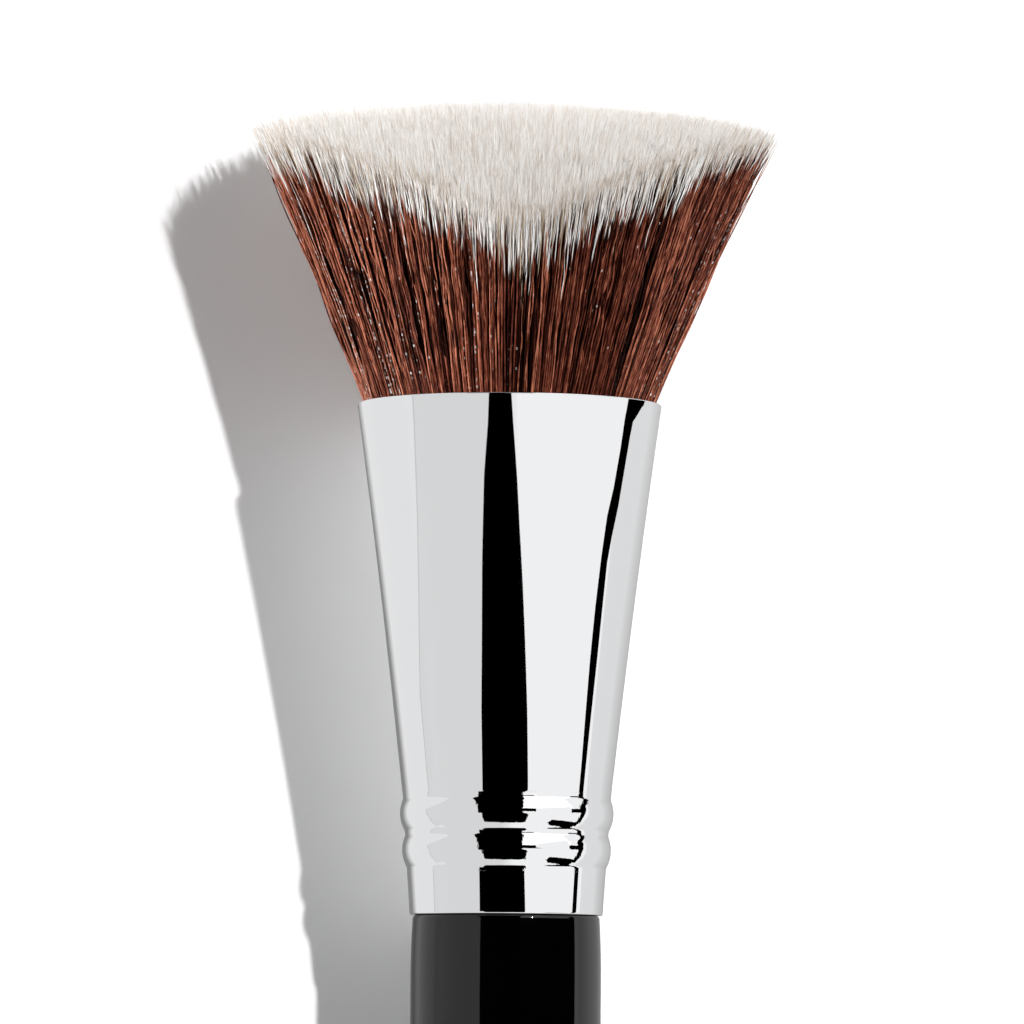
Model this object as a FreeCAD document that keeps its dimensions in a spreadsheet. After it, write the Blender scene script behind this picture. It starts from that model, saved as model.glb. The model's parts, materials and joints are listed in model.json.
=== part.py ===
# Flat-backed kabuki makeup brush, lying on a table with its pointed front facing up.
#
# A turned and lacquered wooden handle carries a drawn metal ferrule on its tenon.
# The ferrule is flared, and two rolled beads near its lower edge key the adhesive.
# The fibre tuft is bound with thread, set in resin inside the ferrule, and flares
# out of its mouth to a pick-shaped outline with a slanting, domed tip surface.
#
# The brush is drawn along +X from the tail of the handle, at station 0, to the tips.
# The pointed front of the tuft is towards +Z, and its left and right sides are +Y and -Y.

import FreeCAD, Part
import Sketcher

import math
import os
import re

Vector = FreeCAD.Vector

DIMENSIONS = [
    # Handle
    ("handle_length", 90.0, "tail to the ferrule's lower edge"),
    ("tail_radius", 4.7, "round end of the handle"),
    ("grip_start", 58.0, "station where the taper meets the straight grip"),
    ("grip_radius", 7.5, "straight part of the handle"),
    ("shoulder_length", 5.0, "eased end of the handle under the ferrule"),
    ("shoulder_drop", 0.15, "radius lost along the eased end"),
    ("tenon_length", 13.0, "spigot inside the ferrule"),
    ("tenon_chamfer", 0.8, "broken edge at the end of the spigot"),
    # Ferrule
    ("ferrule_length", 40.3, "lower edge to the mouth"),
    ("ferrule_wall", 0.4, "thickness of the drawn tube"),
    ("neck_radius", 7.6, "outside of the lower edge"),
    ("neck_taper", 0.066, "radius gained per millimetre along the neck"),
    ("band_length", 3.7, "plain band below the beads"),
    ("lower_bead_width", 2.5, "rolled bead next to the band"),
    ("lower_bead_round", 2.8, "radius of its crown"),
    ("upper_bead_width", 2.45, "rolled bead next to the cone"),
    ("upper_bead_round", 2.7, "radius of its crown"),
    ("bead_groove", 0.4, "flat left above each bead"),
    ("mouth_radius", 12.0, "outside of the mouth"),
    ("flare_round", 1060.0, "hollow sweep of the cone"),
    # Joint between the tenon and the ferrule
    ("glue_gap", 0.2, "ferrule bore over the tenon at the lower edge"),
    ("glue_start", 0.6, "clean length above the shoulder"),
    ("glue_end", 1.6, "bare length at the end of the tenon"),
    ("fit_clearance", 0.05, "play between parts that bed on each other"),
    # Set fibres
    ("resin_start", 17.0, "lower face of the resin above the ferrule's edge"),
    ("resin_floor", 2.0, "resin under the cut ends of the fibres"),
    ("resin_depth", 5.0, "length of fibre held in the resin"),
    ("root_radius", 8.3, "bound bundle of fibres"),
    ("root_length", 12.0, "cut ends to where the fibres fan out"),
    ("bundle_ease", 0.15, "what the round bundle gives up where the flat sides begin"),
    ("bundle_play", 0.05, "resin and thread clear of the bundle"),
    ("thread_diameter", 0.6, "binding thread"),
    ("thread_pitch", 1.05, "advance of the thread each turn"),
    ("thread_turns", 5, "turns of thread round the bundle"),
    ("thread_rise", 0.7, "clear length between the resin and the thread"),
    # Tuft
    ("mouth_clearance", 0.15, "fibres inside the ferrule's mouth"),
    ("tuft_height", 25.6, "mouth to the tips along the back"),
    ("tip_side_reach", 21.8, "axis to the side corners, at the level of the highest tips"),
    ("tip_front_reach", 21.5, "axis to the front edge, at the level of the highest tips"),
    ("tip_back_reach", 15.0, "axis to the middle of the back"),
    ("tip_side_round", 6.0, "round of the side corners"),
    ("tip_front_round", 4.0, "round of the front edge"),
    ("tip_back_round", 32.0, "shallow curve of the back"),
    ("tip_slant_round", 62.5, "curve of the tips from back to front"),
    ("tip_slant_lead", 6.5, "crest of that curve behind the back"),
    ("tip_cross_round", 180.0, "curve of the tips from side to side"),
    ("rest_flat", 0.5, "depth pressed flat where the back lies on the table"),
]


def make_sheet(doc):
    """The driving dimensions as a sheet: a name, a value with the same alias, and a note."""
    sheet = doc.addObject("Spreadsheet::Sheet", "dims")
    for row, (alias, value, note) in enumerate(DIMENSIONS, start=1):
        sheet.set(f"A{row}", alias)
        sheet.set(f"B{row}", str(value))
        sheet.setAlias(f"B{row}", alias)
        sheet.set(f"C{row}", note)
    doc.recompute()
    return sheet


doc = FreeCAD.newDocument("makeup_brush")
dims = make_sheet(doc)
ALIASES = {alias for alias, _, _ in DIMENSIONS}


def bound(formula):
    """The formula with each dimension's name pointing at its cell in the sheet."""
    return re.sub(r"[a-z_]+", lambda word: "dims." + word[0] if word[0] in ALIASES else word[0], formula)


def value_of(formula):
    """What a formula of dimension names comes to now, in millimetres."""
    return float(dims.evalExpression(bound(formula)))


# Profiles of the turned and drawn parts


def arc_between(start, end, radius, side):
    """Counter-clockwise arc of a radius whose crown is left (+1) or right (-1) of start to end."""
    chord = end - start
    left = Vector(-chord.y, chord.x, 0).normalize()
    to_centre = math.sqrt(max(radius**2 - chord.Length**2 / 4, 0))
    centre = (start + end) * 0.5 - left * (side * to_centre)
    first, last = (end, start) if side > 0 else (start, end)
    angles = [math.atan2(point.y - centre.y, point.x - centre.x) for point in (first, last)]
    if angles[1] < angles[0]:
        angles[1] += 2 * math.pi
    return Part.ArcOfCircle(Part.Circle(centre, Vector(0, 0, 1), radius), *angles)


def origin_plane(body, role):
    return next(feature for feature in body.Origin.OriginFeatures if feature.Role == role)


def profile_sketch(body, name, corners, arcs):
    """Closed half-section in the XY plane, with the station as X and the radius as Y.

    corners holds a (station, radius) pair of formulas for each corner. arcs gives, for the edge
    that leaves a corner, its (radius formula, side). The other edges are straight.
    """
    sketch = body.newObject("Sketcher::SketchObject", name)
    sketch.AttachmentSupport = [(origin_plane(body, "XY_Plane"), "")]
    sketch.MapMode = "FlatFace"
    places = [Vector(value_of(station), value_of(radius), 0) for station, radius in corners]
    ends = []
    for index, start in enumerate(places):
        end = places[(index + 1) % len(places)]
        if index in arcs:
            radius, side = arcs[index]
            edge = sketch.addGeometry(arc_between(start, end, value_of(radius), side), False)
            ends.append((edge, 2, 1) if side > 0 else (edge, 1, 2))
            bind(sketch, Sketcher.Constraint("Radius", edge, value_of(radius)), radius)
        else:
            edge = sketch.addGeometry(Part.LineSegment(start, end), False)
            ends.append((edge, 1, 2))
    for index, (station, radius) in enumerate(corners):
        edge, first, last = ends[index]
        before, _, before_last = ends[index - 1]
        sketch.addConstraint(Sketcher.Constraint("Coincident", before, before_last, edge, first))
        for kind, formula, axis in (("DistanceX", station, -2), ("DistanceY", radius, -1)):
            if formula == "0":
                sketch.addConstraint(Sketcher.Constraint("PointOnObject", edge, first, axis))
            else:
                place = Sketcher.Constraint(kind, -1, 1, edge, first, value_of(formula))
                bind(sketch, place, formula)
    return sketch


def bind(sketch, constraint, formula):
    """Adds a sketch dimension that follows a formula of the sheet."""
    index = sketch.addConstraint(constraint)
    sketch.setExpression(f"Constraints[{index}]", bound(formula))


def turned_body(label, corners, arcs):
    """A body of revolution about the brush's axis."""
    body = doc.addObject("PartDesign::Body", label)
    body.Label = label
    sketch = profile_sketch(body, label + "_profile", corners, arcs)
    turned = body.newObject("PartDesign::Revolution", label + "_turned")
    turned.Profile = sketch
    turned.ReferenceAxis = (sketch, ["H_Axis"])
    turned.Angle = 360
    sketch.Visibility = False
    return body


# Handle: rounded tail, long convex taper, straight grip, eased shoulder and tenon

TENON_RADIUS = "(neck_radius - ferrule_wall - glue_gap)"
SHOULDER_RADIUS = "(grip_radius - shoulder_drop)"
TENON_END = "(handle_length + tenon_length)"

# One arc leaves the grip along the axis and runs into the round tail without a corner.
TAPER_RUN = "(grip_start - tail_radius)"
TAPER_GAIN = "(grip_radius - tail_radius)"
TAPER_ROUND = f"(({TAPER_RUN}^2 + grip_radius^2 - tail_radius^2) / (2 * {TAPER_GAIN}))"
TAIL_SHARE = f"(tail_radius / ({TAPER_ROUND} - tail_radius))"
TAIL_STATION = f"(tail_radius - {TAIL_SHARE} * {TAPER_RUN})"
TAIL_HEIGHT = f"({TAIL_SHARE} * ({TAPER_ROUND} - grip_radius))"
SHOULDER_ROUND = "((shoulder_length^2 + shoulder_drop^2) / (2 * shoulder_drop))"


def make_handle():
    corners = [
        ("0", "0"),
        (TAIL_STATION, TAIL_HEIGHT),
        ("grip_start", "grip_radius"),
        ("handle_length - shoulder_length", "grip_radius"),
        ("handle_length", SHOULDER_RADIUS),
        ("handle_length", TENON_RADIUS),
        (f"{TENON_END} - tenon_chamfer", TENON_RADIUS),
        (TENON_END, f"{TENON_RADIUS} - tenon_chamfer"),
        (TENON_END, "0"),
    ]
    arcs = {0: ("tail_radius", 1), 1: (TAPER_ROUND, 1), 3: (SHOULDER_ROUND, 1)}
    return turned_body("handle", corners, arcs)


# Ferrule: one drawn tube, the same wall everywhere, with a rounded lip

BAND_END = "band_length"
LOWER_BEAD_END = f"({BAND_END} + lower_bead_width)"
UPPER_BEAD_START = f"({LOWER_BEAD_END} + bead_groove)"
UPPER_BEAD_END = f"({UPPER_BEAD_START} + upper_bead_width)"
CONE_START = f"({UPPER_BEAD_END} + bead_groove)"
NECK_STATIONS = ["0", BAND_END, LOWER_BEAD_END, UPPER_BEAD_START, UPPER_BEAD_END, CONE_START]
LIP_START = "(ferrule_length - ferrule_wall / 2)"


def neck_corner(rise, inset):
    """Corner of the neck at a height over the lower edge, inset from the outside."""
    return f"handle_length + {rise}", f"neck_radius + neck_taper * {rise} - {inset}"


def lip_corner(inset):
    return f"handle_length + {LIP_START}", f"mouth_radius - {inset}"


def make_ferrule():
    outside = [neck_corner(rise, "0 * ferrule_wall") for rise in NECK_STATIONS]
    inside = [neck_corner(rise, "ferrule_wall") for rise in reversed(NECK_STATIONS)]
    corners = outside + [lip_corner("0 * ferrule_wall"), lip_corner("ferrule_wall")] + inside
    arcs = {
        1: ("lower_bead_round", 1),
        3: ("upper_bead_round", 1),
        5: ("flare_round", -1),
        6: ("0.52 * ferrule_wall", 1),
        7: ("flare_round", 1),
        9: ("upper_bead_round", -1),
        11: ("lower_bead_round", -1),
    }
    return turned_body("ferrule", corners, arcs)


# Adhesive: fills the neck between the tenon and the ferrule, and swells into both beads


def make_adhesive():
    top = "(tenon_length - glue_end)"
    play = "(ferrule_wall + fit_clearance)"
    rises = ["glue_start", *NECK_STATIONS[1:], top]
    outside = [neck_corner(rise, play) for rise in rises]
    bore = f"{TENON_RADIUS} + fit_clearance"
    corners = outside + [(f"handle_length + {top}", bore), ("handle_length + glue_start", bore)]
    arcs = {1: ("lower_bead_round", 1), 3: ("upper_bead_round", 1)}
    return turned_body("tenon_adhesive", corners, arcs)


# Resin: a cast plug in the cone with a socket that holds the cut ends of the fibres

ROOT_START = "(resin_start + resin_floor)"
RESIN_END = f"({ROOT_START} + resin_depth)"


def cone_bore(rise):
    """Bore of the ferrule's cone at a height: its straight line less what the hollow sweep bows in."""
    run = f"({LIP_START} - {CONE_START})"
    share = f"(({rise} - {CONE_START}) / {run})"
    start = f"(neck_radius + neck_taper * {CONE_START})"
    bow = f"{share} * (1 - {share}) * {run}^2 / (2 * flare_round)"
    return f"({start} + {share} * (mouth_radius - {start}) - {bow} - ferrule_wall)"


def make_resin():
    socket = "root_radius + bundle_play"
    corners = [
        ("handle_length + resin_start", "0"),
        ("handle_length + resin_start", f"{cone_bore('resin_start')} - fit_clearance"),
        (f"handle_length + {RESIN_END}", f"{cone_bore(RESIN_END)} - fit_clearance"),
        (f"handle_length + {RESIN_END}", socket),
        (f"handle_length + {ROOT_START}", socket),
        (f"handle_length + {ROOT_START}", "0"),
    ]
    return turned_body("resin_plug", corners, {1: ("flare_round", -1)})


# Binding thread: one length of thread wound round the bundle above the resin


def biarc(start, way_in, end, way_out):
    """Two arcs from start to end that keep both directions and one tangent where they meet.

    Each arc's tangents meet at a corner, and both corners lie the same reach from their ends.
    """
    chord, ways = end - start, way_in + way_out
    spread = 2 * (1 - way_in.dot(way_out))
    lean = chord.dot(ways)
    reach = (math.sqrt(lean**2 + spread * chord.dot(chord)) - lean) / spread
    corners = start + way_in * reach, end - way_out * reach
    meeting = (corners[0] + corners[1]) * 0.5
    arcs = []
    for first, corner, last in ((start, corners[0], meeting), (meeting, corners[1], end)):
        weight = (last - first).Length / (2 * reach)
        crown = (first + corner * (2 * weight) + last) * (1 / (2 + 2 * weight))
        arcs.append(Part.Arc(first, crown, last).toShape())
    return arcs


def make_thread():
    """A pipe along a helix round the bundle, drawn as a biarc for each quarter turn."""
    reach = dims.root_radius + dims.bundle_play + dims.thread_diameter / 2
    start = value_of(f"handle_length + {RESIN_END} + thread_rise")

    def wound(turns):
        angle = 2 * math.pi * turns
        along = start + dims.thread_pitch * turns
        return Vector(along, reach * math.cos(angle), reach * math.sin(angle))

    def way(turns):
        angle = 2 * math.pi * turns
        lead = dims.thread_pitch / (2 * math.pi)
        return Vector(lead, -reach * math.sin(angle), reach * math.cos(angle)).normalize()

    quarters = [number / 4 for number in range(round(4 * dims.thread_turns))]
    path = [arc for q in quarters for arc in biarc(wound(q), way(q), wound(q + 0.25), way(q + 0.25))]
    section = Part.Circle(wound(0), way(0), dims.thread_diameter / 2).toShape()
    pipe = Part.BRepOffsetAPI.MakePipeShell(Part.Wire(path))
    pipe.add(Part.Wire(section))
    pipe.build()
    pipe.makeSolid()
    gap = min((wound(q) - wound(q + 1)).Length for q in quarters) - dims.thread_diameter
    print(f"gap between turns of thread {gap:.3f} mm")
    thread = doc.addObject("Part::Feature", "binding_thread")
    thread.Label = "binding_thread"
    thread.Shape = pipe.shape()
    return thread


# Fibre tuft: a bound root, a fan inside the ferrule, and the flared head cut to its tips


MOUTH = value_of("handle_length + ferrule_length")


def pick_outline(station, side, front, back, side_round, front_round, back_round):
    """Pick-shaped wire across the axis: a shallow back, two round corners and two straight
    sides that meet in a round front edge. All its curves run into each other."""
    corner_y = side - side_round
    back_centre = back_round - back
    corner_z = back_centre - math.sqrt((back_round - side_round) ** 2 - corner_y**2)
    front_centre = front - front_round
    # The straight side touches both rounds where it leaves them square to this direction.
    rise, run = front_centre - corner_z, corner_y
    span = math.hypot(rise, run)
    square = math.atan2(rise, -run) - math.acos((side_round - front_round) / span)
    away = math.atan2(corner_z - back_centre, corner_y)

    def point(y, z, reach, angle):
        return Vector(station, y + reach * math.cos(angle), z + reach * math.sin(angle))

    def mirrored(place):
        return Vector(place.x, -place.y, place.z)

    side_front = point(corner_y, corner_z, side_round, square)
    side_middle = point(corner_y, corner_z, side_round, (square + away) / 2)
    side_back = point(corner_y, corner_z, side_round, away)
    front_side = point(0, front_centre, front_round, square)
    front_middle = Vector(station, 0, front)
    back_middle = Vector(station, 0, -back)
    edges = [
        Part.Arc(mirrored(front_side), front_middle, front_side),
        Part.LineSegment(front_side, side_front),
        Part.Arc(side_front, side_middle, side_back),
        Part.Arc(side_back, back_middle, mirrored(side_back)),
        Part.Arc(mirrored(side_back), mirrored(side_middle), mirrored(side_front)),
        Part.LineSegment(mirrored(side_front), mirrored(front_side)),
    ]
    return Part.Wire([edge.toShape() for edge in edges])


def slant_crest():
    return -dims.tip_back_reach - dims.tip_slant_lead


def tips_at(z):
    """Station of the middle tips at a front-to-back position: an arc that is highest at its crest."""
    slant = dims.tip_slant_round
    centre = MOUTH + dims.tuft_height - math.sqrt(slant**2 - dims.tip_slant_lead**2)
    return centre + math.sqrt(slant**2 - (z - slant_crest()) ** 2)


def tip_cutter():
    """Everything beyond the tips: the slant's arc, turned about the far side-to-side axis."""
    crest, front = slant_crest(), dims.tip_front_reach
    low, middle, high = [Vector(tips_at(z), 0, z) for z in (crest, (crest + front) / 2, front)]
    beyond = MOUTH + 2 * dims.tuft_height
    outline = Part.Wire(
        [
            Part.Arc(low, middle, high).toShape(),
            Part.LineSegment(high, Vector(beyond, 0, front)).toShape(),
            Part.LineSegment(Vector(beyond, 0, front), Vector(beyond, 0, crest)).toShape(),
            Part.LineSegment(Vector(beyond, 0, crest), low).toShape(),
        ]
    )
    cross = dims.tip_cross_round
    half_turn = math.degrees(math.asin(min(2 * dims.tip_side_reach / cross, 0.9)))
    pivot = Vector(MOUTH + dims.tuft_height - cross, 0, 0)
    face = Part.Face(outline)
    face.rotate(pivot, Vector(0, 0, 1), -half_turn)
    return face.revolve(pivot, Vector(0, 0, 1), 2 * half_turn)


def table_under(lying):
    """The table as a block under the lying brush, in the brush's own axes."""
    length, width, depth = 2 * dims.tuft_height, 4 * dims.tip_side_reach, dims.tip_back_reach
    corner = lying.multVec(Vector(MOUTH, 0, 0))
    block = Part.makeBox(length, width, depth, Vector(corner.x, -width / 2, -depth))
    block.Placement = lying.inverse() * block.Placement
    return block


def bundle_outline(station, radius):
    """The pick shape at its roundest, within a few hundredths of a circle."""
    ease = dims.bundle_ease
    eased = radius - ease
    return pick_outline(station, radius, radius, radius, eased, eased, radius + 0.3 * ease)


def make_tuft(lying):
    root = value_of(f"handle_length + {ROOT_START}")
    sections = [
        bundle_outline(root, dims.root_radius),
        bundle_outline(root + dims.root_length, dims.root_radius),
        bundle_outline(MOUTH, dims.mouth_radius - dims.ferrule_wall - dims.mouth_clearance),
        pick_outline(
            MOUTH + dims.tuft_height,
            dims.tip_side_reach,
            dims.tip_front_reach,
            dims.tip_back_reach,
            dims.tip_side_round,
            dims.tip_front_round,
            dims.tip_back_round,
        ),
    ]
    tuft = doc.addObject("Part::Feature", "fibre_tuft")
    tuft.Label = "fibre_tuft"
    tuft.Shape = Part.makeLoft(sections, True, True).cut(tip_cutter()).cut(table_under(lying))
    return tuft


# Lying down: the brush rests on the belly of its handle and on the back of its tuft


def lying_placement():
    """Turns the axis up from the table until the handle's taper arc, or its tail, touches it too.

    The table runs through the flattened back at the tips. A circle touches it where its centre
    is one radius above, so the tilt is what the centre's bearing from the tips leaves over.
    """

    def tilt_on(station, height, radius):
        rise, run = height + back, tips - station
        return math.acos(radius / math.hypot(rise, run)) - math.atan2(run, rise)

    back = dims.tip_back_reach - dims.rest_flat
    tips = tips_at(-back)
    taper, tail = value_of(TAPER_ROUND), dims.tail_radius
    tilt = tilt_on(dims.grip_start, taper - dims.grip_radius, taper)
    if dims.grip_start - taper * math.sin(tilt) < value_of(TAIL_STATION):
        tilt = tilt_on(tail, 0, tail)
    far_end = tips * math.cos(tilt) + back * math.sin(tilt)
    near_end = tail * math.cos(tilt) - tail
    base = Vector(-(far_end + near_end) / 2, 0, back * math.cos(tilt) - tips * math.sin(tilt))
    print(f"axis tilted {math.degrees(tilt):.4f} degrees, tail at {base.x:.4f}, {base.z:.4f}")
    return FreeCAD.Placement(base, FreeCAD.Rotation(Vector(0, 1, 0), -math.degrees(tilt)))


def check(subparts):
    """Stops the build if any object failed or any sub-part has no valid solid."""
    failed = [made.Name for made in doc.Objects if {"Invalid", "Error"} & set(made.State)]
    if failed:
        raise RuntimeError(f"these objects failed: {failed}")
    for part in subparts:
        if part.Shape.isNull() or not part.Shape.isValid() or not part.Shape.Solids:
            raise RuntimeError(f"{part.Label} has no valid solid")


def main():
    lying = lying_placement()
    subparts = [make_handle(), make_ferrule(), make_adhesive(), make_resin(), make_thread(), make_tuft(lying)]
    doc.recompute()
    check(subparts)
    for part in subparts:
        part.Placement = lying
    check(subparts)
    os.makedirs("parts", exist_ok=True)
    for part in subparts:
        part.Shape.exportStep(f"parts/{part.Label}.step")
        print(f"{part.Label}: {len(part.Shape.Solids)} solid, {part.Shape.Volume:.1f} mm3")


main()
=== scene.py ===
import json
import math

import bpy
import numpy as np
from mathutils import Matrix


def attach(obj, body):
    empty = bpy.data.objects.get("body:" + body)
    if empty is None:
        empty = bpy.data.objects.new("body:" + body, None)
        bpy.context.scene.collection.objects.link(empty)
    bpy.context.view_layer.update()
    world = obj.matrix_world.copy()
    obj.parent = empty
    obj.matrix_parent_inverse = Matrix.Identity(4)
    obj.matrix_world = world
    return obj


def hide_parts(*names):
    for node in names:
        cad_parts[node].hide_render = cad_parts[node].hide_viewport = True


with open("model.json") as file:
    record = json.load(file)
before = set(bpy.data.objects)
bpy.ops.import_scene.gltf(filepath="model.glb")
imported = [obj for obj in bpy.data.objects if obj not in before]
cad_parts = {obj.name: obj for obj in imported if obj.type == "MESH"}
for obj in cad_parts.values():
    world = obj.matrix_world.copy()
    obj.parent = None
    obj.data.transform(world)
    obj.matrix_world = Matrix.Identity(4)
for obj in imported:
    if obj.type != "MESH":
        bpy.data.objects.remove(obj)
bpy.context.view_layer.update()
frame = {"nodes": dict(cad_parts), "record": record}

# Handle. One piece of beech, turned to a long taper with a round tail and an eased shoulder.
# It is sprayed with black lacquer and polished to a high gloss, and its bare tenon is glued
# into the ferrule. The brush's axes come from the straight grip, which the record states.

GRIP = frame["record"]["mounts"][0]
GRIP_MIDDLE = 71.5
ALONG = -np.array(GRIP["axis"])
SIDEWAYS = np.array([0.0, 1.0, 0.0])
UPWARDS = np.cross(ALONG, SIDEWAYS)
TAIL_END = np.array(GRIP["pos_m"]) - ALONG * GRIP_MIDDLE / 1000


def on_brush(station, side, height):
    """Points in metres from millimetres along the axis, to its left and above it."""
    station, side, height = np.broadcast_arrays(station, side, height)
    offset = station[..., None] * ALONG + side[..., None] * SIDEWAYS + height[..., None] * UPWARDS
    return TAIL_END + offset / 1000


def arc_profile(station, radius, size, start, end, count):
    """Profile points on a circle about (station, radius), from one angle to another in degrees."""
    angle = np.radians(np.linspace(start, end, count))
    return np.stack([station + size * np.cos(angle), radius + size * np.sin(angle)], axis=1)


def turned_piece(name, profile, sides, closed):
    """Surface of revolution: each profile point carried round the axis in equal steps.

    A closed profile joins its last ring to its first. An open one ends in a pole at each end,
    where its first and last points lie on the axis.
    """
    turn = np.linspace(0, 2 * np.pi, sides, endpoint=False)
    rings = profile if closed else profile[1:-1]
    around = on_brush(rings[:, :1], rings[:, 1:] * np.cos(turn), rings[:, 1:] * np.sin(turn))
    index = np.arange(around.shape[0] * sides).reshape(-1, sides)
    lower = index if closed else index[:-1]
    upper = np.roll(index, -1, axis=0) if closed else index[1:]
    quads = np.stack([lower, np.roll(lower, -1, 1), np.roll(upper, -1, 1), upper], axis=2)
    points, faces = around.reshape(-1, 3), quads.reshape(-1, 4).tolist()
    if not closed:
        poles = on_brush(profile[[0, -1], 0], 0, 0)
        points = np.concatenate([points, poles])
        first, last = len(points) - 2, len(points) - 1
        ring = np.stack([index[0], np.roll(index[0], -1)], axis=1)
        faces += np.insert(ring[:, ::-1], 0, first, axis=1).tolist()
        ring = np.stack([index[-1], np.roll(index[-1], -1)], axis=1)
        faces += np.insert(ring, 0, last, axis=1).tolist()
    mesh = bpy.data.meshes.new(name)
    mesh.from_pydata(points.tolist(), [], faces)
    mesh.polygons.foreach_set("use_smooth", np.ones(len(mesh.polygons), bool))
    mesh.set_sharp_from_angle(angle=math.radians(40))
    piece = bpy.data.objects.new(name, mesh)
    bpy.context.collection.objects.link(piece)
    return piece


def new_finish(name):
    """An empty material with its node tree and its Principled shader."""
    material = bpy.data.materials.new(name)
    material.use_nodes = True
    tree = material.node_tree
    return material, tree, tree.nodes["Principled BSDF"]


def linked(tree, kind, inputs=(), **settings):
    """A new node with its settings and its inputs, which are values or other nodes' outputs."""
    node = tree.nodes.new(kind)
    for key, value in settings.items():
        setattr(node, key, value)
    for socket, value in dict(inputs).items():
        if isinstance(value, bpy.types.NodeSocket):
            tree.links.new(value, node.inputs[socket])
        else:
            node.inputs[socket].default_value = value
    return node


TAIL_RADIUS = 4.7
GRIP_START, GRIP_RADIUS = 58.0, 7.5
SHOULDER_START, SHOULDER_DROP = 85.0, 0.15
HANDLE_END = 90.0
TENON_RADIUS, TENON_END, TENON_CHAMFER = 7.0, 103.0, 0.8
SHOULDER_EDGE = 0.33

taper = GRIP_START - TAIL_RADIUS
taper_round = (taper**2 + GRIP_RADIUS**2 - TAIL_RADIUS**2) / (2 * (GRIP_RADIUS - TAIL_RADIUS))
taper_lean = math.degrees(math.asin(taper / (taper_round - TAIL_RADIUS)))
shoulder = HANDLE_END - SHOULDER_START
shoulder_round = (shoulder**2 + SHOULDER_DROP**2) / (2 * SHOULDER_DROP)
shoulder_lean = math.degrees(math.asin((shoulder - SHOULDER_EDGE) / shoulder_round))
shoulder_end = GRIP_RADIUS - shoulder_round * (1 - math.cos(math.radians(shoulder_lean)))
handle_profile = np.concatenate([
    arc_profile(TAIL_RADIUS, 0, TAIL_RADIUS, 180, 90 + taper_lean, 32),
    arc_profile(GRIP_START, GRIP_RADIUS - taper_round, taper_round, 90 + taper_lean, 90, 80)[1:],
    arc_profile(SHOULDER_START, GRIP_RADIUS - shoulder_round, shoulder_round,
                90, 90 - shoulder_lean, 24),
    arc_profile(HANDLE_END - SHOULDER_EDGE, shoulder_end - SHOULDER_EDGE, SHOULDER_EDGE, 88, 0, 6),
    [[HANDLE_END, TENON_RADIUS], [TENON_END - TENON_CHAMFER, TENON_RADIUS],
     [TENON_END, TENON_RADIUS - TENON_CHAMFER], [TENON_END, 0]],
])
handle = turned_piece("lacquered_handle", handle_profile, 160, closed=False)

lacquer, tree, shader = new_finish("gloss black lacquer")
shader.inputs["Base Color"].default_value = (0.0004, 0.0004, 0.0005, 1)
shader.inputs["IOR"].default_value = 1.5
place = linked(tree, "ShaderNodeTexCoord").outputs["Object"]
haze = linked(tree, "ShaderNodeTexNoise", {"Vector": place, "Scale": 90, "Detail": 4})
gloss = linked(tree, "ShaderNodeMapRange", {"Value": haze.outputs["Fac"], "To Min": 0.03, "To Max": 0.06})
tree.links.new(gloss.outputs["Result"], shader.inputs["Roughness"])
peel = linked(tree, "ShaderNodeTexNoise", {"Vector": place, "Scale": 700, "Detail": 1})
ripple = linked(tree, "ShaderNodeBump", {"Height": peel.outputs["Fac"], "Strength": 0.06,
                                         "Distance": 0.00004})
tree.links.new(ripple.outputs["Normal"], shader.inputs["Normal"])
handle.data.materials.append(lacquer)
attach(handle, "root")
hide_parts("handle")

# Ferrule. One metal tube, drawn to a hollow-sided cone with two rolled beads over a plain band
# and a rolled lip at the mouth. It is polished and plated bright, slides over the tenon and
# butts against the handle's shoulder.

FERRULE_LENGTH, FERRULE_WALL = 40.3, 0.4
NECK_RADIUS, NECK_TAPER = 7.6, 0.066
MOUTH_RADIUS, FLARE_ROUND = 12.0, 1060.0
BEADS = ((3.7, 2.5, 2.8), (6.6, 2.45, 2.7))
CONE_START = 9.45
CREASE_EASE = 0.07
LIP_START, LIP_ROUND = FERRULE_LENGTH - FERRULE_WALL / 2, 0.07


def ferrule_outside(rise):
    """Outer radius at a height over the lower edge: a straight neck with an arc's crown for each
    bead, then a cone whose sides bow in from the straight line by a parabola."""
    neck = NECK_RADIUS + NECK_TAPER * rise
    for start, width, crown in BEADS:
        across = np.clip(np.abs(rise - start - width / 2), 0, width / 2)
        neck = neck + np.sqrt(crown**2 - across**2) - math.sqrt(crown**2 - width**2 / 4)
    run = LIP_START - CONE_START
    share = (rise - CONE_START) / run
    start = NECK_RADIUS + NECK_TAPER * CONE_START
    cone = start + share * (MOUTH_RADIUS - start) - share * (1 - share) * run**2 / (2 * FLARE_ROUND)
    return np.where(rise < CONE_START, neck, cone)


def eased(rise):
    """The outer radius averaged over a short stretch, which rounds the creases."""
    reach = np.linspace(-2, 2, 17)
    weight = np.exp(-reach**2 / 2)
    return ferrule_outside(rise[:, None] + reach * CREASE_EASE) @ weight / weight.sum()


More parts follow.
